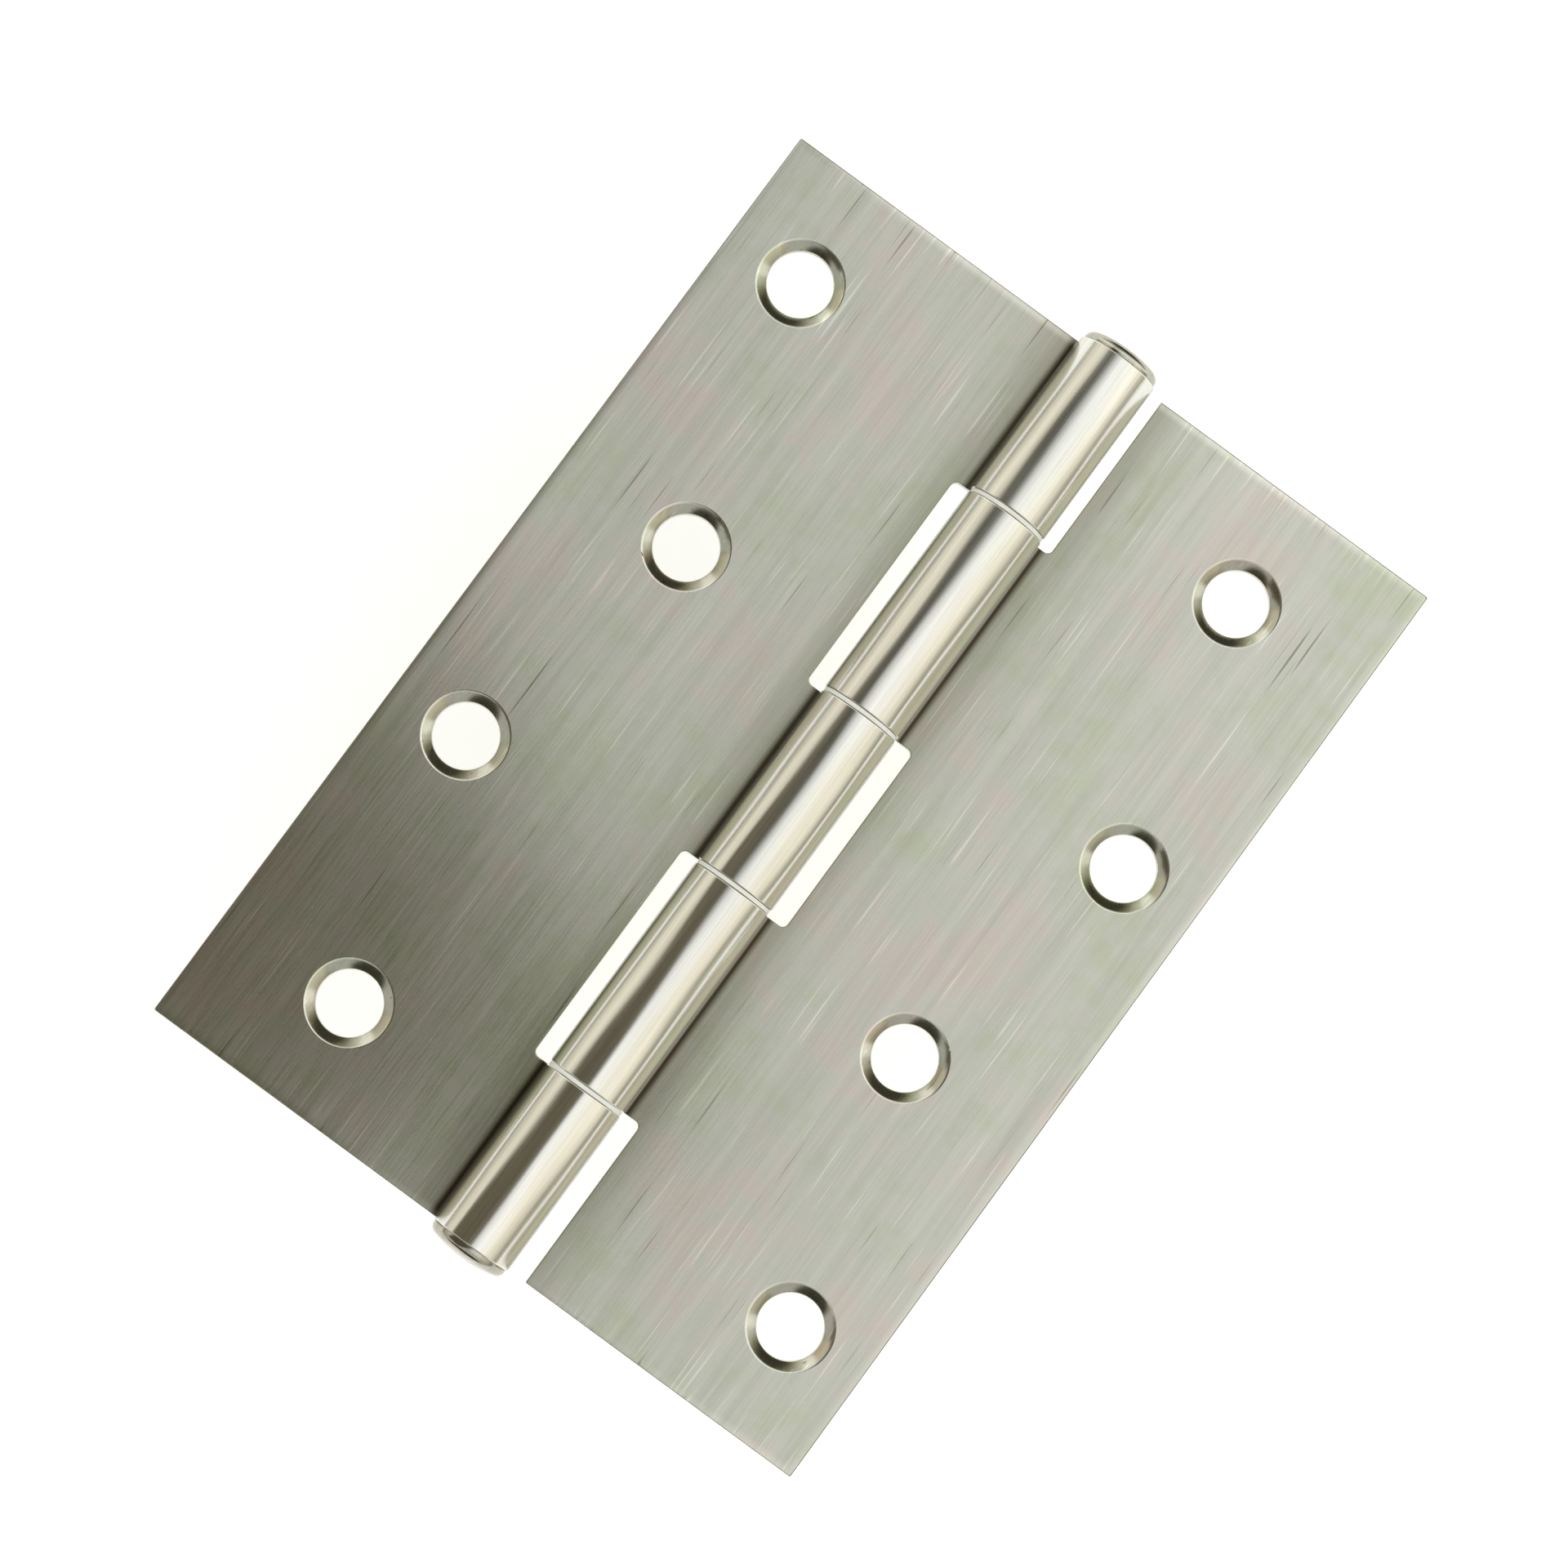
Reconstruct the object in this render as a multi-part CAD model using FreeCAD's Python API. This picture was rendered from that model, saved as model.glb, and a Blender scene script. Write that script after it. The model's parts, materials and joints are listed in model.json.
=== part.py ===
import FreeCAD, Part
import math
import os

# Light butt hinge with a fixed pin, opened flat.
#
# Millimetres. The pin runs along Y, and +Z is the side on which the barrel stands proud and
# the screw holes are countersunk. Both leaves lie with their backs on Z = 0, flush with the
# back of the barrel: the three-knuckle leaf towards -X, the two-knuckle leaf towards +X.
# The origin is under the middle of the pin, on the plane of the leaves' backs.

# ---- Driving dimensions ----

LEAF_LENGTH = 100.0         # along the pin
OPEN_WIDTH = 72.0           # across both leaves, opened flat
SHEET = 1.5                 # sheet that each leaf is cut and rolled from
CORNER_RADIUS = 0.3         # outer corners of the leaves

PIN_DIAMETER = 5.1
PIN_CLEARANCE = 0.05        # all round the pin, in every knuckle and washer
HEAD_STEP = 0.15            # a head's rim stands back this far from the barrel
HEAD_HEIGHT = 1.45
HEAD_RIM = 0.25             # straight rim under the dome of the head
HEAD_SHOULDER = 0.8         # radius that rounds the rim into the dome

END_KNUCKLE = 17.5          # from a leaf's end to the middle of the nearest joint
MIDDLE_KNUCKLE = 19.6       # between the middles of the joints beside knuckle 3
WASHER_THICKNESS = 0.4
WASHER_STEP = 0.1           # a washer's edge stands back this far from the barrel
JOINT_CLEARANCE = 0.05      # each side of a washer

SEAM_GAP = 0.25             # between the rolled end of the sheet and the face of the leaf
KNUCKLE_EDGE = 0.18         # broken edges at the ends of the knuckles
NOTCH_RADIUS = 0.6          # inner corners of the notches
NOTCH_GAP_END = 1.3         # from knuckle 1 to the notch in the leaf opposite
NOTCH_GAP_EVEN = 1.65       # the same, for knuckles 2 and 4
NOTCH_GAP_ODD = 1.95        # the same, for knuckles 3 and 5

HOLE_DIAMETER = 6.2
SINK_DIAMETER = 8.2
SINK_DEPTH = 0.7
HOLE_ROWS = 4
HOLE_END = 11.0             # from a leaf's end to the nearest row of holes
HOLE_EDGE = 8.0             # from a leaf's outer edge to the outer holes
HOLE_STAGGER = 6.0          # from the outer holes to the inner ones

# ---- Sizes that follow from them ----

HALF_LENGTH = LEAF_LENGTH / 2
HALF_WIDTH = OPEN_WIDTH / 2
PIN_RADIUS = PIN_DIAMETER / 2
BORE_RADIUS = PIN_RADIUS + PIN_CLEARANCE
BARREL_RADIUS = BORE_RADIUS + SHEET
WASHER_RADIUS = BARREL_RADIUS - WASHER_STEP
HEAD_RADIUS = BARREL_RADIUS - HEAD_STEP
JOINT_GAP = WASHER_THICKNESS + 2 * JOINT_CLEARANCE
JOINTS = [
    HALF_LENGTH - END_KNUCKLE,
    MIDDLE_KNUCKLE / 2,
    -MIDDLE_KNUCKLE / 2,
    -(HALF_LENGTH - END_KNUCKLE),
]
KNUCKLES = len(JOINTS) + 1
OVERRUN = 1.0               # how far a cutting tool runs past the face that it leaves

PARTS = "parts"


def point(x, y, z):
    return FreeCAD.Vector(x, y, z)


ALONG_PIN = point(0, 1, 0)
UPWARD = point(0, 0, 1)


def knuckle_span(number):
    """Lowest and highest Y of a knuckle. They are numbered from the +Y end."""
    bottom = -HALF_LENGTH
    top = HALF_LENGTH
    if number < KNUCKLES:
        bottom = JOINTS[number - 1] + JOINT_GAP / 2
    if number > 1:
        top = JOINTS[number - 2] - JOINT_GAP / 2
    return bottom, top


def notch_depth(number):
    """Distance from the pin to the edge of the leaf that makes room for a knuckle."""
    if number == 1:
        return BARREL_RADIUS + NOTCH_GAP_END
    if number % 2 == 0:
        return BARREL_RADIUS + NOTCH_GAP_EVEN
    return BARREL_RADIUS + NOTCH_GAP_ODD


# ---- Leaves ----
# Each is built on the +X side.

def rolled_ring(bottom, top):
    """The sheet of one knuckle, rolled round the pin from under it back to the leaf's face."""
    end_drop = math.asin((BARREL_RADIUS - SHEET - SEAM_GAP) / BARREL_RADIUS)
    under = -math.pi / 2
    far_side = math.pi

    def on_circle(radius, angle):
        return point(radius * math.cos(angle), bottom, BARREL_RADIUS + radius * math.sin(angle))

    outer = [on_circle(BARREL_RADIUS, angle) for angle in (under, far_side, -end_drop)]
    inner = [on_circle(BORE_RADIUS, angle) for angle in (-end_drop, far_side, under)]
    edges = [
        Part.Arc(*outer).toShape(),
        Part.LineSegment(outer[-1], inner[0]).toShape(),
        Part.Arc(*inner).toShape(),
        Part.LineSegment(inner[-1], outer[0]).toShape(),
    ]
    return Part.Face(Part.Wire(edges)).extrude(ALONG_PIN * (top - bottom))


def edge_breaker(height, inward):
    """Cutter that breaks the barrel's outer edge at one end of a knuckle, above the leaf."""
    centre = point(0, height, BARREL_RADIUS)
    around = Part.makeCylinder(BARREL_RADIUS + OVERRUN, KNUCKLE_EDGE, centre, inward)
    kept = Part.makeCone(
        BARREL_RADIUS - KNUCKLE_EDGE, BARREL_RADIUS, KNUCKLE_EDGE, centre, inward
    )
    reach = 2 * BARREL_RADIUS
    above_leaf = Part.makeBox(
        2 * reach, 4 * KNUCKLE_EDGE, reach, point(-reach, height - 2 * KNUCKLE_EDGE, SHEET)
    )
    return around.cut(kept).common(above_leaf)


def knuckle(number):
    bottom, top = knuckle_span(number)
    ring = rolled_ring(bottom, top)
    ring = ring.cut(edge_breaker(bottom, ALONG_PIN))
    return ring.cut(edge_breaker(top, -ALONG_PIN))


def upright_edges(box_shape):
    """The edges of a box that run along Z."""
    upright = []
    for edge in box_shape.Edges:
        start, end = [vertex.Point for vertex in edge.Vertexes]
        if start.distanceToPoint(point(end.x, end.y, start.z)) < OVERRUN / 10:
            upright.append(edge)
    return upright


def notch_cutter(number):
    """Room in the flat sheet for a knuckle of the other leaf, its inner corners rounded."""
    bottom, top = knuckle_span(number)
    bottom -= OVERRUN if number == KNUCKLES else JOINT_GAP
    top += OVERRUN if number == 1 else JOINT_GAP
    depth = notch_depth(number)
    cutter = Part.makeBox(
        depth + OVERRUN, top - bottom, SHEET + 2 * OVERRUN, point(-OVERRUN, bottom, -OVERRUN)
    )
    inner_corners = []
    for edge in upright_edges(cutter):
        corner = edge.Vertexes[0].Point
        in_leaf = abs(corner.y) < HALF_LENGTH
        if in_leaf and corner.x > depth / 2:
            inner_corners.append(edge)
    return cutter.makeFillet(NOTCH_RADIUS, inner_corners)


def flat_sheet(own_numbers):
    """The flat of a leaf. At its own knuckles it reaches to the line under the pin."""
    sheet = Part.makeBox(HALF_WIDTH, LEAF_LENGTH, SHEET, point(0, -HALF_LENGTH, 0))
    outer = [edge for edge in upright_edges(sheet) if edge.Vertexes[0].Point.x > 0]
    sheet = sheet.makeFillet(CORNER_RADIUS, outer)
    for number in range(1, KNUCKLES + 1):
        if number not in own_numbers:
            sheet = sheet.cut(notch_cutter(number))
    return sheet


def hole_places():
    """Centres of the screw holes: the rows alternate between an inner and an outer line."""
    pitch = (LEAF_LENGTH - 2 * HOLE_END) / (HOLE_ROWS - 1)
    places = []
    for row in range(HOLE_ROWS):
        outer = row % 2 == 1
        x = HALF_WIDTH - HOLE_EDGE - (0 if outer else HOLE_STAGGER)
        places.append((x, HALF_LENGTH - HOLE_END - row * pitch))
    return places


def screw_hole(x, y):
    """Cutter for a straight hole with a countersink on the front."""
    hole_radius = HOLE_DIAMETER / 2
    sink_radius = SINK_DIAMETER / 2
    slope = (sink_radius - hole_radius) / SINK_DEPTH
    straight = Part.makeCylinder(
        hole_radius, SHEET + 2 * OVERRUN, point(x, y, -OVERRUN), UPWARD
    )
    sink = Part.makeCone(
        hole_radius,
        sink_radius + slope * OVERRUN,
        SINK_DEPTH + OVERRUN,
        point(x, y, SHEET - SINK_DEPTH),
        UPWARD,
    )
    return straight.fuse(sink)


def leaf(own_numbers):
    body = flat_sheet(own_numbers).fuse([knuckle(number) for number in own_numbers])
    body = body.cut([screw_hole(x, y) for x, y in hole_places()])
    return body.removeSplitter()


def two_knuckle_leaf():
    return leaf((2, 4))


def three_knuckle_leaf():
    """Turned half round about the origin on to the -X side, where its knuckles fit again."""
    turned = leaf((1, 3, 5))
    turned.rotate(point(0, 0, 0), UPWARD, 180)
    return turned


# ---- Pin and washers ----

def hinge_pin():
    """Shank through all the knuckles and a domed head against each end, turned as one profile."""
    end = HALF_LENGTH + HEAD_HEIGHT
    rim = HALF_LENGTH + HEAD_RIM
    dome = HEAD_HEIGHT - HEAD_RIM
    inset = HEAD_RADIUS - HEAD_SHOULDER
    dome_radius = (inset ** 2 + dome ** 2 - HEAD_SHOULDER ** 2) / (2 * (dome - HEAD_SHOULDER))
    lean = math.asin(inset / (dome_radius - HEAD_SHOULDER))

    def at(radius, y):
        return point(radius, y, BARREL_RADIUS)

    def on_shoulder(angle, side):
        """A place on the rounded shoulder, by its angle off the pin's line."""
        radius = inset + HEAD_SHOULDER * math.sin(angle)
        return at(radius, side * (rim + HEAD_SHOULDER * math.cos(angle)))

    def on_dome(angle, side):
        """A place on the dome, which meets the shoulder smoothly at the angle named lean."""
        height = end - dome_radius * (1 - math.cos(angle))
        return at(dome_radius * math.sin(angle), side * height)

    def head(side):
        middle = (lean + math.pi / 2) / 2
        rounded = [on_shoulder(angle, side) for angle in (lean, middle, math.pi / 2)]
        domed = [on_dome(angle, side) for angle in (0, lean / 2, lean)]
        return [Part.Arc(*domed).toShape(), Part.Arc(*rounded).toShape()]

    sides = Part.makePolygon([
        at(HEAD_RADIUS, rim),
        at(HEAD_RADIUS, HALF_LENGTH),
        at(PIN_RADIUS, HALF_LENGTH),
        at(PIN_RADIUS, -HALF_LENGTH),
        at(HEAD_RADIUS, -HALF_LENGTH),
        at(HEAD_RADIUS, -rim),
    ])
    axis = Part.LineSegment(at(0, -end), at(0, end)).toShape()
    profile = Part.Wire([*head(1), *sides.Edges, *reversed(head(-1)), axis])
    return Part.Face(profile).revolve(at(0, 0), ALONG_PIN, 360)


def washer(joint):
    start = point(0, joint - WASHER_THICKNESS / 2, BARREL_RADIUS)
    disc = Part.makeCylinder(WASHER_RADIUS, WASHER_THICKNESS, start, ALONG_PIN)
    bore = Part.makeCylinder(BORE_RADIUS, WASHER_THICKNESS, start, ALONG_PIN)
    return disc.cut(bore)


def build():
    pieces = {
        "three_knuckle_leaf": three_knuckle_leaf(),
        "two_knuckle_leaf": two_knuckle_leaf(),
        "hinge_pin": hinge_pin(),
    }
    for number, joint in enumerate(JOINTS, start=1):
        pieces[f"washer_{number}"] = washer(joint)
    return pieces


os.makedirs(PARTS, exist_ok=True)
for name, shape in build().items():
    shape.exportStep(f"{PARTS}/{name}.step")
    print(f"{name}: {len(shape.Solids)} solid, valid {shape.isValid()}, {shape.Volume:.1f} mm3")
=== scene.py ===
import bpy
import json
import math
from mathutils import Matrix, Vector


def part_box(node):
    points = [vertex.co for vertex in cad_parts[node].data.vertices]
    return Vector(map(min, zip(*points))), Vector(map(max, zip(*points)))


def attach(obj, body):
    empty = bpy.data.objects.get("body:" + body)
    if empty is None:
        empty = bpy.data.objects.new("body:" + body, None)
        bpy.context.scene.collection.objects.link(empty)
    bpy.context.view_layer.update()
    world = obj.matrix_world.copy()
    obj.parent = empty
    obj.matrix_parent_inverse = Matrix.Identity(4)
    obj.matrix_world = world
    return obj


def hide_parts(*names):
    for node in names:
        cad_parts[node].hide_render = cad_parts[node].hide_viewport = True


# Light butt hinge in brushed stainless steel, opened flat over a pale table.
# Metres. The pin runs along Y, and the leaves lie with their backs on Z = 0.

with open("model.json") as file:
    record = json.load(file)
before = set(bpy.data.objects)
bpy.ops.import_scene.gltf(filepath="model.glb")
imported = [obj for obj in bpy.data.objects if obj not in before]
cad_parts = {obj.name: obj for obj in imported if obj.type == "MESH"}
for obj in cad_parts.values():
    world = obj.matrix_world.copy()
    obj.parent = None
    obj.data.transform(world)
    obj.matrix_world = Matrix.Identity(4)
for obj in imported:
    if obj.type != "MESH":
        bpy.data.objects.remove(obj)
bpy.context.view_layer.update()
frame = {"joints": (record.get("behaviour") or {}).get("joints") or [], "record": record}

MM = 0.001

# ---- Sizes read from the frame ----

PIN_HEIGHT = frame["joints"][0]["pos_m"][2]
LEAF_LOW, LEAF_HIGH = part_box("two_knuckle_leaf")
HALF_LENGTH = LEAF_HIGH.y
HALF_WIDTH = LEAF_HIGH.x
BARREL_RADIUS = PIN_HEIGHT
PIN_LOW, PIN_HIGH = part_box("hinge_pin")
HEAD_RADIUS = PIN_HIGH.x
HEAD_TOP = PIN_HIGH.y
WASHERS = [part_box(f"washer_{number}") for number in (1, 2, 3, 4)]
WASHER_RADIUS = WASHERS[0][1].x
MOUNTS = {mount["name"]: mount for mount in frame["record"]["mounts"]}

# ---- Sizes of the sheet metal that the frame doesn't state ----

SHEET = 1.5 * MM
SEAM_GAP = 0.25 * MM        # between the rolled end of the sheet and the face of the leaf
JOINT_CLEARANCE = 0.05 * MM
NOTCH_END = 1.3 * MM        # from knuckle 1 to the notch in the leaf opposite
NOTCH_EVEN = 1.65 * MM      # the same, for knuckles 2 and 4
NOTCH_ODD = 1.95 * MM       # the same, for knuckles 3 and 5
NOTCH_RADIUS = 0.6 * MM
EDGE_ROLL = 0.9 * MM        # how far the rolled-over front edge reaches into the leaf
EDGE_DROP = 0.13 * MM       # and how far it falls
SINK_RADIUS = 4.1 * MM
SINK_DEPTH = 0.7 * MM
PIN_CLEARANCE = 0.05 * MM
HEAD_RIM = 0.25 * MM        # straight rim under the dome of the head
HEAD_SHOULDER = 0.8 * MM    # radius that rounds the rim into the dome
LEAF_EDGE = 0.12 * MM       # how far each piece's sharp edges are broken
PIN_EDGE = 0.06 * MM
RING_EDGE = 0.05 * MM

BORE_RADIUS = BARREL_RADIUS - SHEET
PIN_RADIUS = BORE_RADIUS - PIN_CLEARANCE
ROLL_DROP = math.asin((BARREL_RADIUS - SHEET - SEAM_GAP) / BARREL_RADIUS)
ROLL_TURN = math.radians(270) + ROLL_DROP

# ---- How finely the curves are made ----

ROLL_STEPS = 96
ROUND_STEPS = 96
HOLE_STEPS = 80
DOME_STEPS = 8
OVERRUN = 1.0 * MM          # how far a cutter runs past what it cuts
CLOSE = 0.001 * MM          # nearer than this is the same place

# ---- A piece's materials, by their place in its list ----

EDGE_MATERIAL = 1
COUNTERSINK_MATERIAL = 2


# ---- Small helpers for modelling ----

def only(piece):
    """Makes this the one selected and active object."""
    bpy.ops.object.select_all(action="DESELECT")
    piece.select_set(True)
    bpy.context.view_layer.objects.active = piece


def named(name):
    """Names the primitive just added and puts its place into its mesh."""
    piece = bpy.context.object
    piece.name = name
    piece.data.name = name
    only(piece)
    bpy.ops.object.transform_apply(location=True, rotation=True, scale=True)
    return piece


def box_piece(name, low, high):
    low, high = Vector(low), Vector(high)
    bpy.ops.mesh.primitive_cube_add(size=1, location=(low + high) / 2, scale=high - low)
    return named(name)


def pick(piece, kind, test):
    """Leaves the piece in edit mode with only the points, edges or faces selected that pass."""
    only(piece)
    bpy.ops.object.mode_set(mode="EDIT")
    bpy.ops.mesh.select_mode(type=kind)
    bpy.ops.mesh.select_all(action="DESELECT")
    bpy.ops.object.mode_set(mode="OBJECT")
    elements = {
        "VERT": piece.data.vertices, "EDGE": piece.data.edges, "FACE": piece.data.polygons
    }
    for element in elements[kind]:
        element.select = test(element)
    bpy.ops.object.mode_set(mode="EDIT")


def done():
    bpy.ops.object.mode_set(mode="OBJECT")


def ends_of(piece, edge):
    return [piece.data.vertices[index].co for index in edge.vertices]


def apply_modifier(piece, kind, **settings):
    only(piece)
    modifier = piece.modifiers.new(kind.lower(), kind)
    for setting, value in settings.items():
        setattr(modifier, setting, value)
    bpy.ops.object.modifier_apply(modifier=modifier.name)


def cut(piece, cutter):
    apply_modifier(piece, "BOOLEAN", operation="DIFFERENCE", solver="EXACT", object=cutter)
    bpy.data.objects.remove(cutter)


def tidy_mesh(piece):
    """Merges doubles and points every face outwards."""
    only(piece)
    bpy.ops.object.mode_set(mode="EDIT")
    bpy.ops.mesh.select_all(action="SELECT")
    bpy.ops.mesh.remove_doubles(threshold=CLOSE)
    bpy.ops.mesh.normals_make_consistent(inside=False)
    done()


def soften(piece, width, steps=3):
    """Breaks every sharp edge. The new narrow faces take the edge material."""
    apply_modifier(
        piece, "BEVEL", width=width, segments=steps, limit_method="ANGLE",
        angle_limit=math.radians(35), use_clamp_overlap=False, material=EDGE_MATERIAL,
    )
    only(piece)
    bpy.ops.object.shade_smooth()
    apply_modifier(piece, "WEIGHTED_NORMAL", mode="FACE_AREA", weight=50, keep_sharp=False)


# ---- Leaves ----

def knuckle_span(number):
    """Lowest and highest Y of a knuckle, numbered from the +Y end."""
    low = -HALF_LENGTH
    high = HALF_LENGTH
    if number < 5:
        low = WASHERS[number - 1][1].y + JOINT_CLEARANCE
    if number > 1:
        high = WASHERS[number - 2][0].y - JOINT_CLEARANCE
    return low, high


def notch_depth(number):
    if number == 1:
        return BARREL_RADIUS + NOTCH_END
    return BARREL_RADIUS + (NOTCH_EVEN if number % 2 == 0 else NOTCH_ODD)


def notch_cutter(number):
    """A block as deep as the notch, the corners that stay in the leaf rounded."""
    low, high = knuckle_span(number)
    gap = WASHERS[0][1].y - WASHERS[0][0].y + 2 * JOINT_CLEARANCE
    low -= OVERRUN if number == 5 else gap
    high += OVERRUN if number == 1 else gap
    depth = notch_depth(number)
    block = box_piece("cutter", (-OVERRUN, low, -OVERRUN), (depth, high, SHEET + OVERRUN))

    def inner_corner(edge):
        a, b = ends_of(block, edge)
        upright = abs(a.x - b.x) < CLOSE and abs(a.y - b.y) < CLOSE
        return upright and a.x > 0 and abs(a.y) < HALF_LENGTH

    pick(block, "EDGE", inner_corner)
    bpy.ops.mesh.bevel(offset=NOTCH_RADIUS, segments=8, affect="EDGES")
    done()
    return block


def hole_places(outer_mount, inner_mount):
    """Centres of a leaf's screw holes, read from its two rows of mounts."""
    places = []
    for name in (outer_mount, inner_mount):
        mount = MOUNTS[name]
        x, y, _ = mount["pos_m"]
        half = mount["dims"]["spacing_y_mm"] * MM / 2
        places += [(x, y + half), (x, y - half)]
    return places


def hole_cutter(x, y, radius):
    """A round bar that widens into the countersink above the sheet's middle."""
    sink_floor = SHEET - SINK_DEPTH
    low = -OVERRUN
    bpy.ops.mesh.primitive_cylinder_add(
        vertices=HOLE_STEPS, radius=radius, depth=sink_floor - low,
        location=(x, y, (sink_floor + low) / 2),
    )
    bar = named("cutter")
    flare = 1 + OVERRUN / SINK_DEPTH
    widest = radius + (SINK_RADIUS - radius) * flare
    pick(bar, "FACE", lambda face: face.normal.z > 0.9)
    bpy.ops.mesh.extrude_region_move(TRANSFORM_OT_translate={"value": (0, 0, SINK_DEPTH * flare)})
    bpy.ops.transform.resize(
        value=(widest / radius, widest / radius, 1),
        center_override=(x, y, sink_floor),
    )
    done()
    return bar


def roll_over(sheet):
    """Draws the leaf's long edge and its ends down a little in front, as the cutting press does."""
    pick(sheet, "FACE", lambda face: True)
    bpy.ops.mesh.bisect(plane_co=(BARREL_RADIUS, 0, 0), plane_no=(1, 0, 0))
    done()

    def front_outline(edge):
        a, b = ends_of(sheet, edge)
        in_front = min(a.z, b.z) > SHEET - CLOSE
        along_edge = min(a.x, b.x) > HALF_WIDTH - CLOSE
        across_end = min(abs(a.y), abs(b.y)) > HALF_LENGTH - CLOSE and abs(a.x - b.x) > CLOSE
        beyond_knuckles = min(a.x, b.x) > BARREL_RADIUS - CLOSE
        return in_front and (along_edge or across_end and beyond_knuckles)

    pick(sheet, "EDGE", front_outline)
    bpy.ops.mesh.bevel(offset=EDGE_ROLL, segments=5, affect="EDGES")
    done()
    pick(sheet, "VERT", lambda corner: SHEET - EDGE_ROLL - CLOSE < corner.co.z < SHEET - CLOSE)
    bpy.ops.transform.resize(value=(1, 1, EDGE_DROP / EDGE_ROLL), center_override=(0, 0, SHEET))
    done()


def polish_countersinks(sheet):
    """Gives their own material to the countersinks, the only faces here that slope so much."""
    def sloping(face):
        return 0.6 < face.normal.z < 0.95 and face.center.z < SHEET - EDGE_DROP

    pick(sheet, "FACE", sloping)
    sheet.active_material_index = COUNTERSINK_MATERIAL
    bpy.ops.object.material_slot_assign()
    done()


def leaf(name, own_numbers, holes, turned):
    """A leaf cut from flat sheet on the +X side, its tongues rolled round the pin."""
    sheet = box_piece(name, (0, -HALF_LENGTH, 0), (HALF_WIDTH, HALF_LENGTH, SHEET))
    for number in range(1, 6):
        if number not in own_numbers:
            cut(sheet, notch_cutter(number))
    roll_over(sheet)
    hole_radius = MOUNTS["door_leaf_outer_screws"]["dims"]["hole_r_mm"] * MM
    for x, y in holes:
        cut(sheet, hole_cutter(x, y, hole_radius))
    dress(sheet, sheet_steel, worn_edge, shaded_countersink_steel)
    polish_countersinks(sheet)
    pick(sheet, "FACE", lambda face: face.center.x < CLOSE and face.normal.x < -0.9)
    bpy.ops.mesh.spin(
        steps=ROLL_STEPS, angle=ROLL_TURN, center=(0, 0, PIN_HEIGHT), axis=(0, -1, 0)
    )
    done()
    tidy_mesh(sheet)
    if turned:
        only(sheet)
        sheet.rotation_euler.z = math.pi
        bpy.ops.object.transform_apply(location=True, rotation=True, scale=True)
    return sheet


# ---- Pin and washers ----

def pin():
    """Shank with a head formed at each end: a straight rim, then a dome closed at its pole."""
    bpy.ops.mesh.primitive_cylinder_add(
        vertices=ROUND_STEPS, radius=PIN_RADIUS, depth=2 * HALF_LENGTH,
        location=(0, 0, PIN_HEIGHT), rotation=(math.pi / 2, 0, 0),
    )
    piece = named("riveted_pin")
    for side in (1, -1):
        pick(piece, "FACE", lambda face: face.center.y * side > HALF_LENGTH - CLOSE)
        widen(HEAD_RADIUS / PIN_RADIUS, side * HALF_LENGTH)
        bpy.ops.mesh.extrude_region_move(TRANSFORM_OT_translate={"value": (0, side * HEAD_RIM, 0)})
        raise_dome(side)
        done()
    tidy_mesh(piece)
    return piece


def widen(ratio, y):
    """Extrudes the selected end face in its own plane and makes the new one larger or smaller."""
    bpy.ops.mesh.extrude_region_move(TRANSFORM_OT_translate={"value": (0, 0, 0)})
    bpy.ops.transform.resize(value=(ratio, 1, ratio), center_override=(0, y, PIN_HEIGHT))


def raise_dome(side):
    """Carries the selected face up in small steps, round the shoulder and over the dome."""
    rise = HEAD_TOP - HALF_LENGTH - HEAD_RIM
    inset = HEAD_RADIUS - HEAD_SHOULDER
    sphere = (inset ** 2 + rise ** 2 - HEAD_SHOULDER ** 2) / (2 * (rise - HEAD_SHOULDER))
    lean = math.asin(inset / (sphere - HEAD_SHOULDER))
    profile = []
    for step in range(1, DOME_STEPS + 1):
        angle = math.pi / 2 + (lean - math.pi / 2) * step / DOME_STEPS
        profile.append((
            inset + HEAD_SHOULDER * math.sin(angle), HEAD_SHOULDER * math.cos(angle)
        ))
    for step in range(1, DOME_STEPS + 1):
        angle = lean * (1 - step / DOME_STEPS)
        profile.append((sphere * math.sin(angle), rise - sphere * (1 - math.cos(angle))))
    radius = HEAD_RADIUS
    height = 0.0
    for next_radius, next_height in profile:
        move = side * (next_height - height)
        bpy.ops.mesh.extrude_region_move(TRANSFORM_OT_translate={"value": (0, move, 0)})
        centre = side * (HALF_LENGTH + HEAD_RIM + next_height)
        ratio = next_radius / radius
        bpy.ops.transform.resize(value=(ratio, 1, ratio), center_override=(0, centre, PIN_HEIGHT))
        radius = next_radius
        height = next_height


def washer(number):
    low, high = WASHERS[number - 1]
    bpy.ops.mesh.primitive_cylinder_add(
        vertices=ROUND_STEPS, radius=WASHER_RADIUS, depth=high.y - low.y,
        location=(0, (low.y + high.y) / 2, PIN_HEIGHT), rotation=(math.pi / 2, 0, 0),
    )
    piece = named(f"nylon_ring_{number}")
    pick(piece, "FACE", lambda face: abs(face.normal.y) > 0.9)
    bpy.ops.mesh.inset(thickness=WASHER_RADIUS - BORE_RADIUS)
    bpy.ops.mesh.bridge_edge_loops()
    done()
    tidy_mesh(piece)
    return piece


# ---- Materials ----

def linear(code):
    """An sRGB hex colour as linear red, green, blue and alpha."""
    values = [int(code[place:place + 2], 16) / 255 for place in (1, 3, 5)]
    return [v / 12.92 if v <= 0.04045 else ((v + 0.055) / 1.055) ** 2.4 for v in values] + [1.0]


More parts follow.
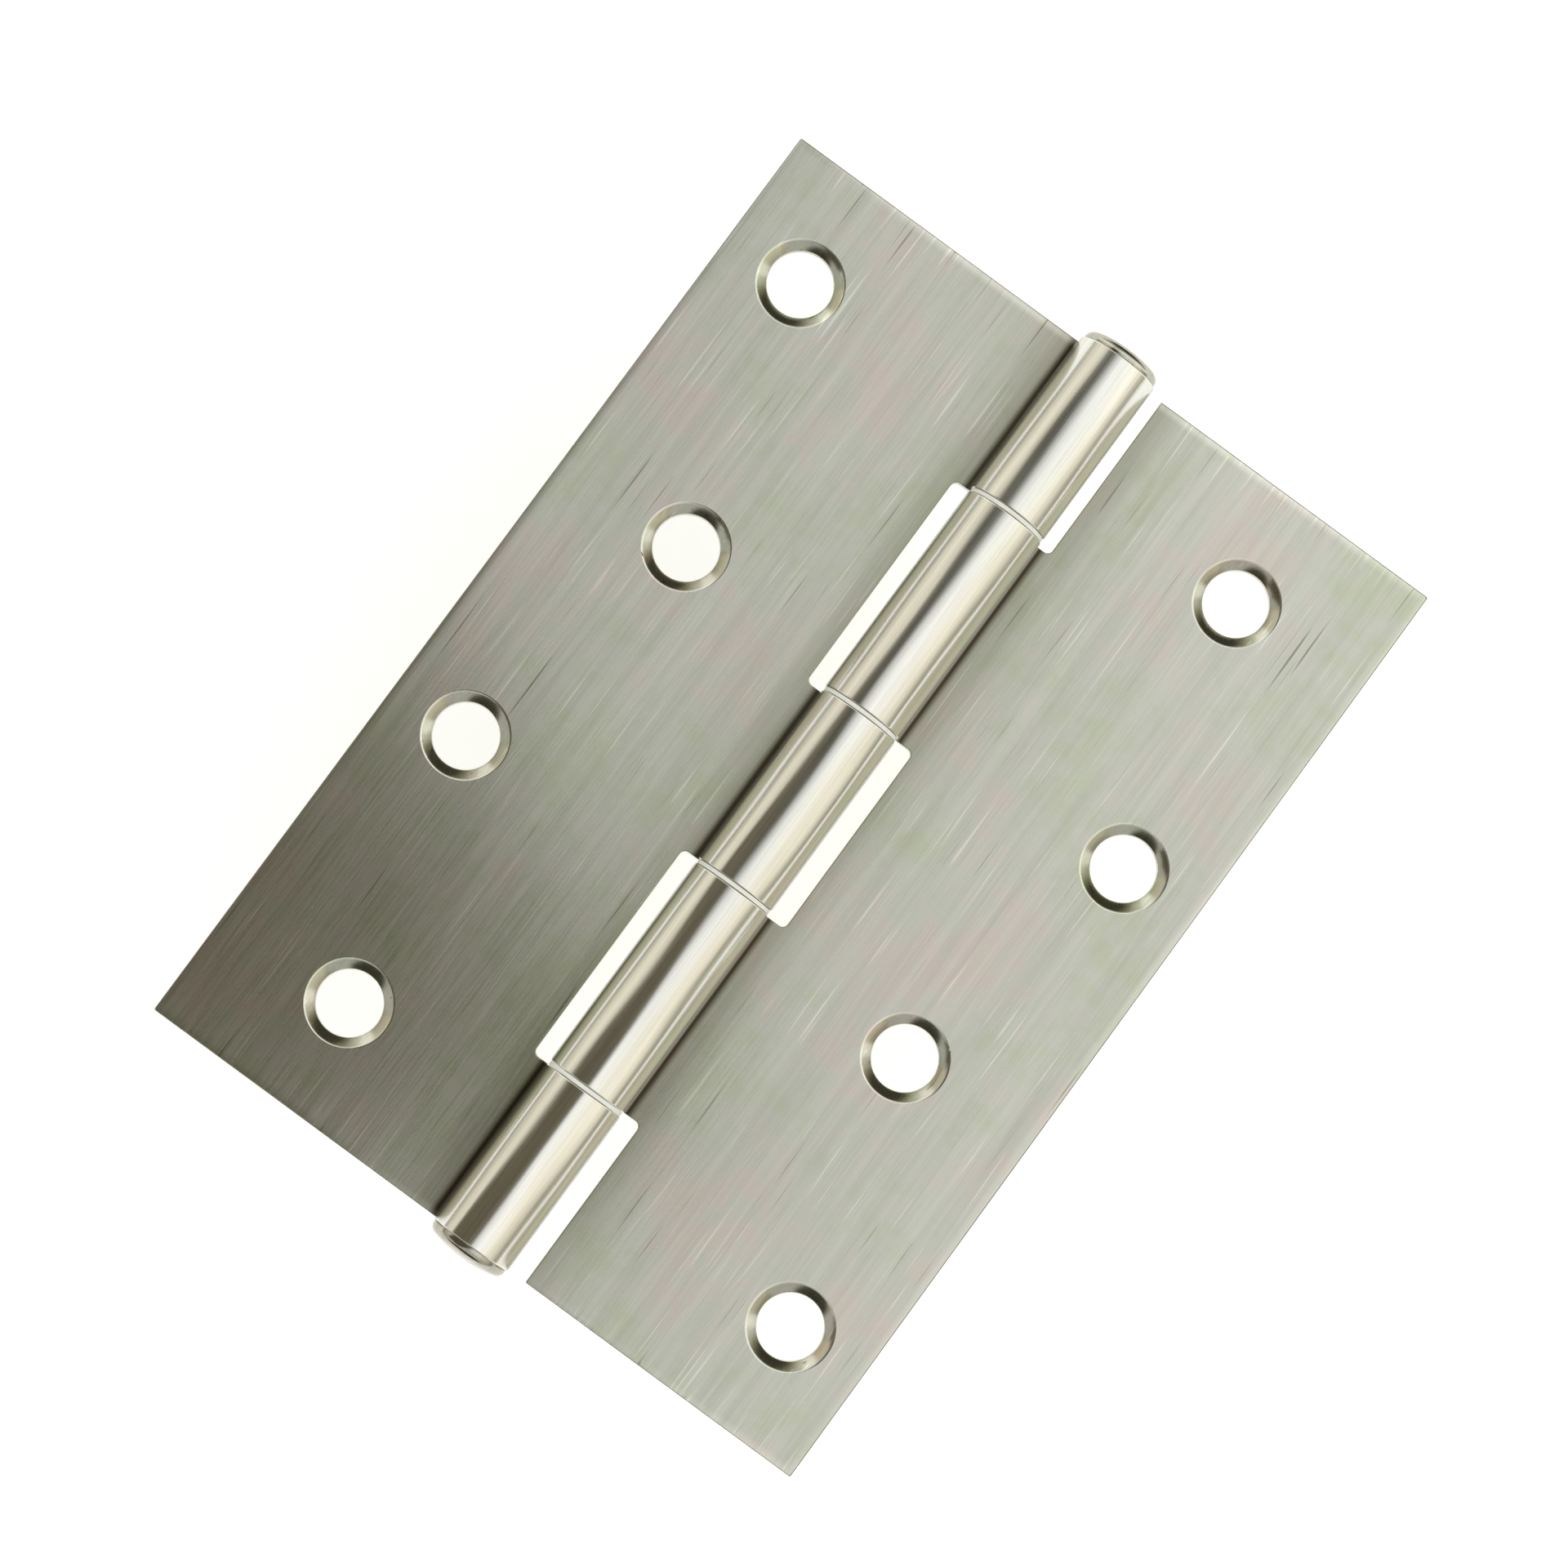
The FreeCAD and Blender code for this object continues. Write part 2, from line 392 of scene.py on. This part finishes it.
def add(tree, kind, inputs=None, stops=None, **settings):
    """Adds a node with its settings, its links and values, and a ramp's stops."""
    made = tree.nodes.new(kind)
    for setting, value in settings.items():
        setattr(made, setting, value)
    for socket, value in (inputs or {}).items():
        if isinstance(value, bpy.types.NodeSocket):
            tree.links.new(value, made.inputs[socket])
        else:
            made.inputs[socket].default_value = value
    if stops:
        elements = made.color_ramp.elements
        while len(elements) < len(stops):
            elements.new(0.5)
        for element, (place, colour) in zip(elements, stops):
            element.position = place
            element.color = colour
    return made


CHANGEOVER = 0.3 * MM       # over which the rolled surface turns into the flat one
SHADE_BAND = 8 * MM          # width of the painted shade beside the barrel
WAVE_HEIGHT = 0.2 * MM      # of the waves in the rolled sheet, drawn deep enough to show


def new_material(name):
    material = bpy.data.materials.new(name)
    material.use_nodes = True
    material.node_tree.nodes.clear()
    return material, material.node_tree


def drawn_noises(tree, place):
    """Noises drawn out along the pin, each with its size in metres across and along.

    They are the belt's hairlines (real ones are nearer 0.05 mm, drawn 0.15 mm apart so that they
    show), the broader streaks between them, handling scratches, which are the rare extremes of a
    noise of fine lines, and the slow waves of sheet that was rolled up and isn't quite round.
    """
    noises = []
    for spacing, length, detail in (
        (0.15 * MM, 9 * MM, 3.0), (1.1 * MM, 40 * MM, 2.0), (0.3 * MM, 11 * MM, 0.0),
        (2.5 * MM, 16 * MM, 0.0),
    ):
        stretched = add(tree, "ShaderNodeMapping", {
            "Vector": place, "Scale": (1 / spacing, 1 / length, 1 / spacing)
        })
        noises.append(add(tree, "ShaderNodeTexNoise", {
            "Vector": stretched.outputs[0], "Scale": 1.0, "Detail": detail, "Roughness": 0.6
        }).outputs["Fac"])
    return noises


def oil_bloom(tree, place):
    """Faint green and pink left by polishing oil, in clouds of 14 mm and flecks of 2.5 mm."""
    clouds = add(tree, "ShaderNodeTexNoise", {
        "Vector": place, "Scale": 1 / (14 * MM), "Detail": 1.0, "Roughness": 0.5
    })
    flecks = add(tree, "ShaderNodeTexNoise", {
        "Vector": place, "Scale": 1 / (2.5 * MM), "Detail": 4.0, "Roughness": 0.6
    })
    bloom = add(tree, "ShaderNodeMix", {
        "Factor": 0.5, 2: clouds.outputs["Fac"], 3: flecks.outputs["Fac"]
    }, data_type="FLOAT")
    tint = add(tree, "ShaderNodeValToRGB", {"Fac": bloom.outputs[0]}, stops=[
        (0.36, linear("#E6ECD8")), (0.5, linear("#EEF0E8")), (0.64, linear("#F6ECE6"))
    ])
    return tint.outputs["Color"]


def paint_shade_beside_knuckles(tree, colour, parts, across, flat):
    """Painted shade on the sheet's face beside its knuckles: a dark brown shadow line where the
    barrel meets the leaf, fading out across the band.
    """
    beside = add(tree, "ShaderNodeMapRange", {
        "Value": across, "From Min": BARREL_RADIUS, "From Max": BARREL_RADIUS + SHADE_BAND
    })
    # Painted shadow: dark brown at the barrel, fading to white across the band.
    corner = add(tree, "ShaderNodeValToRGB", {"Fac": beside.outputs["Result"]}, stops=[
        (0.0, linear("#5A5040")), (0.05, linear("#5A5040")), (0.12, linear("#D0CFC6")),
        (0.5, linear("#F4F4F1")), (1.0, linear("#FFFFFF")),
    ])
    in_front = add(tree, "ShaderNodeMapRange", {
        "Value": parts.outputs["Z"], "From Min": SHEET - CHANGEOVER, "From Max": SHEET
    })
    on_face = add(tree, "ShaderNodeMath", {
        0: in_front.outputs["Result"], 1: flat
    }, operation="MULTIPLY")
    corner_shaded = add(tree, "ShaderNodeMix", {
        "Factor": on_face.outputs[0], 6: colour, 7: corner.outputs["Color"]
    }, data_type="RGBA", blend_type="MULTIPLY")
    return corner_shaded.outputs[2]


def relief(tree, flat, hairlines, waves, grain_depth):
    """The hairlines as grooves, pressed nearly flat on the knuckles, over the waves of rolling."""
    groove_share = add(tree, "ShaderNodeMapRange", {"Value": flat, "To Min": 0.15, "To Max": 1.0})
    grooves = add(tree, "ShaderNodeMath", {
        0: hairlines, 1: groove_share.outputs["Result"]
    }, operation="MULTIPLY")
    wave_share = add(tree, "ShaderNodeMapRange", {"Value": flat, "To Min": 1.0, "To Max": 0.05})
    swell = add(tree, "ShaderNodeMath", {
        0: waves, 1: wave_share.outputs["Result"]
    }, operation="MULTIPLY")
    uneven = add(tree, "ShaderNodeBump", {
        "Height": swell.outputs[0], "Strength": 1.0, "Distance": WAVE_HEIGHT
    })
    bump = add(tree, "ShaderNodeBump", {
        "Height": grooves.outputs[0], "Strength": 1.0, "Distance": grain_depth,
        "Normal": uneven.outputs["Normal"],
    })
    return bump.outputs["Normal"]


def stainless(name, dark, light, rough_flat, rough_rolled, grain_depth):
    """Stainless sheet: brushed along the pin before it was cut, burnished where it was rolled.

    The brushing gives streaks along the pin and a sheen that spreads across them. The knuckles
    mirror the light in long soft stripes.
    """
    material, tree = new_material(name)
    place = add(tree, "ShaderNodeTexCoord").outputs["Object"]
    parts = add(tree, "ShaderNodeSeparateXYZ", {0: place})
    across = add(tree, "ShaderNodeMath", {
        0: parts.outputs["X"]
    }, operation="ABSOLUTE").outputs[0]
    flat = add(tree, "ShaderNodeMapRange", {
        "Value": across, "From Min": BARREL_RADIUS - CHANGEOVER,
        "From Max": BARREL_RADIUS + CHANGEOVER,
    }, interpolation_type="SMOOTHSTEP").outputs["Result"]
    hairlines, bands, scratches, waves = drawn_noises(tree, place)

    grain = add(tree, "ShaderNodeMix", {"Factor": 0.5, 2: hairlines, 3: bands}, data_type="FLOAT")
    grain_tone = add(tree, "ShaderNodeMapRange", {
        "Value": grain.outputs[0], "From Min": 0.3, "From Max": 0.7
    })
    tone = add(tree, "ShaderNodeMix", {
        "Factor": grain_tone.outputs["Result"], 6: linear(dark), 7: linear(light)
    }, data_type="RGBA")
    # Rolling polished most of the bloom and the scratches off the knuckles.
    left_on = add(tree, "ShaderNodeMapRange", {"Value": flat, "To Min": 0.2, "To Max": 1.0})
    tinted = add(tree, "ShaderNodeMix", {
        "Factor": left_on.outputs["Result"], 6: tone.outputs[2], 7: oil_bloom(tree, place)
    }, data_type="RGBA", blend_type="MULTIPLY")
    # Painted shade: a shadow line and a darker band on the face beside the knuckles.
    corner_shaded = paint_shade_beside_knuckles(tree, tinted.outputs[2], parts, across, flat)
    # The noise's low extremes are light scratches, its high ones dark.
    scratched = add(tree, "ShaderNodeValToRGB", {"Fac": scratches}, stops=[
        (0.20, linear("#FFFFFF")), (0.28, linear("#E8E8E8")), (0.76, linear("#E8E8E8")),
        (0.86, linear("#B0AEA4")),
    ])
    colour = add(tree, "ShaderNodeMix", {
        "Factor": left_on.outputs["Result"], 6: corner_shaded, 7: scratched.outputs["Color"]
    }, data_type="RGBA", blend_type="MULTIPLY")

    rough_base = add(tree, "ShaderNodeMapRange", {
        "Value": flat, "To Min": rough_rolled, "To Max": rough_flat
    })
    rough_grain = add(tree, "ShaderNodeMapRange", {
        "Value": hairlines, "From Min": 0.3, "From Max": 0.7, "To Min": -0.02, "To Max": 0.02
    })
    rough = add(tree, "ShaderNodeMath", {
        0: rough_base.outputs["Result"], 1: rough_grain.outputs["Result"]
    }, operation="ADD")

    round_pin = add(tree, "ShaderNodeTangent", direction_type="RADIAL", axis="Y")
    shader = add(tree, "ShaderNodeBsdfPrincipled", {
        "Base Color": colour.outputs[2], "Metallic": 1.0, "Roughness": rough.outputs[0],
        "Anisotropic": 0.3, "Tangent": round_pin.outputs[0],
        "Normal": relief(tree, flat, hairlines, waves, grain_depth),
    })
    add(tree, "ShaderNodeOutputMaterial", {"Surface": shader.outputs["BSDF"]})
    return material


def nylon():
    """Moulded nylon: off-white and a little waxy, so that the rings show as fine pale lines."""
    material, tree = new_material("moulded_nylon")
    place = add(tree, "ShaderNodeTexCoord").outputs["Object"]
    speck = add(tree, "ShaderNodeTexNoise", {
        "Vector": place, "Scale": 1 / (0.4 * MM), "Detail": 2.0
    })
    colour = add(tree, "ShaderNodeMix", {
        "Factor": speck.outputs["Fac"], 6: linear("#F4F4EC"), 7: linear("#FFFFF8")
    }, data_type="RGBA")
    rough = add(tree, "ShaderNodeMapRange", {
        "Value": speck.outputs["Fac"], "To Min": 0.42, "To Max": 0.62
    })
    bump = add(tree, "ShaderNodeBump", {
        "Height": speck.outputs["Fac"], "Strength": 0.3, "Distance": 0.02 * MM
    })
    shader = add(tree, "ShaderNodeBsdfPrincipled", {
        "Base Color": colour.outputs[2], "Roughness": rough.outputs["Result"], "IOR": 1.53,
        "Normal": bump.outputs["Normal"],
    })
    add(tree, "ShaderNodeOutputMaterial", {"Surface": shader.outputs["BSDF"]})
    return material


def dress(piece, *materials):
    piece.data.materials.clear()
    for material in materials:
        piece.data.materials.append(material)


# ---- Stage, light and camera ----

TABLE_TOP = -HALF_WIDTH - 2 * MM    # low enough for the door leaf to swing down above it
FLAG_HEIGHT = 120 * MM              # of the dark card above the leaves
FAR_WALL = 1.75                     # brightness of the tent's end wall at +Y
WHITE = "#FFFFFF"
CREAM = "#FFF8E6"
OLIVE = "#E9E1C4"


def pale_table():
    bpy.ops.mesh.primitive_plane_add(size=4, location=(0, 0, TABLE_TOP))
    table = named("pale_table")
    material, tree = new_material("pale_card")
    place = add(tree, "ShaderNodeTexCoord").outputs["Object"]
    fibre = add(tree, "ShaderNodeTexNoise", {"Vector": place, "Scale": 400.0, "Detail": 2.0})
    colour = add(tree, "ShaderNodeMix", {
        "Factor": fibre.outputs["Fac"], 6: linear("#F6F6F4"), 7: linear("#FBFBF9")
    }, data_type="RGBA")
    shader = add(tree, "ShaderNodeBsdfPrincipled", {
        "Base Color": colour.outputs[2], "Roughness": 0.9, "Specular IOR Level": 0.1,
        "Emission Color": linear("#FFFFFF"), "Emission Strength": 0.45,
    })
    add(tree, "ShaderNodeOutputMaterial", {"Surface": shader.outputs["BSDF"]})
    dress(table, material)


def grey(level, tint, alpha=1.0):
    """A tint at a brightness, as a ramp's colour."""
    return [channel * level for channel in linear(tint)[:3]] + [alpha]


def light_tent():
    """A pale tent with a dark slot overhead that runs with the pin, and a bright far end."""
    world = bpy.data.worlds.new("light_tent")
    bpy.context.scene.world = world
    world.use_nodes = True
    tree = world.node_tree
    tree.nodes.clear()
    towards = add(tree, "ShaderNodeTexCoord").outputs["Generated"]
    parts = add(tree, "ShaderNodeSeparateXYZ", {0: towards})
    # Degrees off straight up, seen along the pin, with the brightness and tint there.
    across = [
        (-90, 0.3, OLIVE), (-78, 0.75, CREAM), (-62, 1.0, CREAM), (-46, 0.75, CREAM),
        (-38, 0.25, OLIVE), (-32, 0.1, OLIVE), (-16, 0.1, OLIVE), (-5, 0.68, WHITE),
        (2, 0.95, WHITE), (8, 1.08, WHITE), (16, 1.2, WHITE), (56, 1.15, CREAM), (72, 0.8, CREAM),
        (82, 0.45, OLIVE), (90, 0.5, OLIVE),
    ]
    lean = add(tree, "ShaderNodeMath", {
        0: parts.outputs["X"], 1: parts.outputs["Z"]
    }, operation="ARCTAN2")
    half_turn = add(tree, "ShaderNodeMapRange", {
        "Value": lean.outputs[0], "From Min": -math.pi / 2, "From Max": math.pi / 2
    })
    slotted = add(tree, "ShaderNodeValToRGB", {"Fac": half_turn.outputs["Result"]}, stops=[
        ((degrees + 90) / 180, grey(level, tint)) for degrees, level, tint in across
    ])
    # Towards the ends, from -1 to 1 along the pin, walls cover the slotted part as far as the
    # last number says.
    along = [
        (-1, 0.06, OLIVE, 1), (-0.87, 0.1, OLIVE, 1), (-0.8, 0.7, WHITE, 1),
        (-0.4, 0.7, WHITE, 0.9), (-0.25, 0.3, OLIVE, 0), (0.2, FAR_WALL, WHITE, 0),
        (0.3, FAR_WALL, WHITE, 0.7), (0.5, FAR_WALL, WHITE, 0.7), (0.6, 1.0, WHITE, 0.4),
        (0.76, 0.5, OLIVE, 1), (0.87, 0.08, OLIVE, 1), (1, 0.08, OLIVE, 1),
    ]
    length = add(tree, "ShaderNodeMapRange", {
        "Value": parts.outputs["Y"], "From Min": -1.0, "From Max": 1.0
    })
    walls = add(tree, "ShaderNodeValToRGB", {"Fac": length.outputs["Result"]}, stops=[
        ((y + 1) / 2, grey(level, tint, alpha)) for y, level, tint, alpha in along
    ])
    tent_colour = add(tree, "ShaderNodeMix", {
        "Factor": walls.outputs["Alpha"], 6: slotted.outputs["Color"], 7: walls.outputs["Color"]
    }, data_type="RGBA")
    tent = add(tree, "ShaderNodeBackground", {"Color": tent_colour.outputs[2], "Strength": 1.0})
    plain = add(tree, "ShaderNodeBackground", {"Color": linear("#FCFCFA"), "Strength": 1.0})
    seen = add(tree, "ShaderNodeLightPath").outputs["Is Camera Ray"]
    both = add(tree, "ShaderNodeMixShader", {
        0: seen, 1: tent.outputs["Background"], 2: plain.outputs["Background"]
    })
    add(tree, "ShaderNodeOutputWorld", {"Surface": both.outputs["Shader"]})


def dark_flag():
    """A card over the -X -Y corner, there only to be mirrored in the metal."""
    middle = (-92 * MM, -86 * MM, FLAG_HEIGHT)
    turn = math.radians(-28)
    width = 130 * MM
    length = 200 * MM
    bpy.ops.mesh.primitive_plane_add(size=1, location=middle, rotation=(0, 0, turn))
    bpy.context.object.scale = (width, length, 1)
    card = named("dark_flag")
    material, tree = new_material("olive_card")
    shader = add(tree, "ShaderNodeEmission", {"Color": linear("#EADBB4"), "Strength": 0.15})
    add(tree, "ShaderNodeOutputMaterial", {"Surface": shader.outputs["Emission"]})
    dress(card, material)
    card.visible_camera = False
    card.visible_diffuse = False
    card.visible_shadow = False


def camera():
    """Over the hinge, a little towards its -Y end, with the pin running up to the right."""
    position = Vector((0, -30 * MM, 443 * MM))
    target = Vector((-1.84 * MM, 0.7 * MM, SHEET))
    pin_lean = math.radians(53.77)
    up = Vector((-math.cos(pin_lean), math.sin(pin_lean), 0))
    back = (position - target).normalized()
    right = up.cross(back).normalized()
    up = back.cross(right)
    frame_width = 144 * MM
    data = bpy.data.cameras.new("camera")
    data.sensor_width = 36
    data.lens = 36 * (position - target).length / frame_width
    data.clip_start = 10 * MM
    made = bpy.data.objects.new("camera", data)
    made.matrix_world = Matrix((right, up, back)).transposed().to_4x4()
    made.location = position
    bpy.context.scene.collection.objects.link(made)
    bpy.context.scene.camera = made


# ---- The hinge ----

camera()
light_tent()
dark_flag()
pale_table()

# The leaves' steel, soft and streaky. Their broken edges, rubbed brighter. The countersinks,
# pressed smooth, so that they flash light and dark, and darker in colour: painted shade in the
# hollows. The pin, greyer and more even.
sheet_steel = stainless(
    "brushed_stainless_sheet", "#DBDBD4", "#F4F4EF", 0.28, 0.17, 0.003 * MM
)
worn_edge = stainless("burnished_edge", "#E4E4DA", "#FAFAF2", 0.24, 0.17, 0.004 * MM)
# Painted shade: a darker copy of the sheet steel for the countersink hollows.
shaded_countersink_steel = stainless("punched_countersink", "#CCCBBE", "#E4E3D8", 0.17, 0.17, 0.002 * MM)
pin_steel = stainless("polished_pin", "#A8A69A", "#C6C4B8", 0.16, 0.16, 0.002 * MM)
ring_nylon = nylon()

door_leaf = leaf(
    "leaf_with_two_knuckles", (2, 4),
    hole_places("door_leaf_outer_screws", "door_leaf_inner_screws"), turned=False,
)
# This one is modelled on the +X side as well, and then turned half round.
opposite = [(-x, -y) for x, y in hole_places("frame_leaf_outer_screws", "frame_leaf_inner_screws")]
frame_leaf = leaf("leaf_with_three_knuckles", (1, 3, 5), opposite, turned=True)
for piece, node, body in (
    (door_leaf, "two_knuckle_leaf", "door_leaf"),
    (frame_leaf, "three_knuckle_leaf", "frame_leaf"),
):
    soften(piece, LEAF_EDGE)
    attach(piece, body)
    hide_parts(node)

riveted_pin = pin()
dress(riveted_pin, pin_steel, pin_steel)
soften(riveted_pin, PIN_EDGE)
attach(riveted_pin, "frame_leaf")
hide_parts("hinge_pin")

for number in (1, 2, 3, 4):
    ring = washer(number)
    dress(ring, ring_nylon, ring_nylon)
    soften(ring, RING_EDGE)
    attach(ring, "frame_leaf")
    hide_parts(f"washer_{number}")

bpy.context.scene.view_settings.view_transform = "Standard"
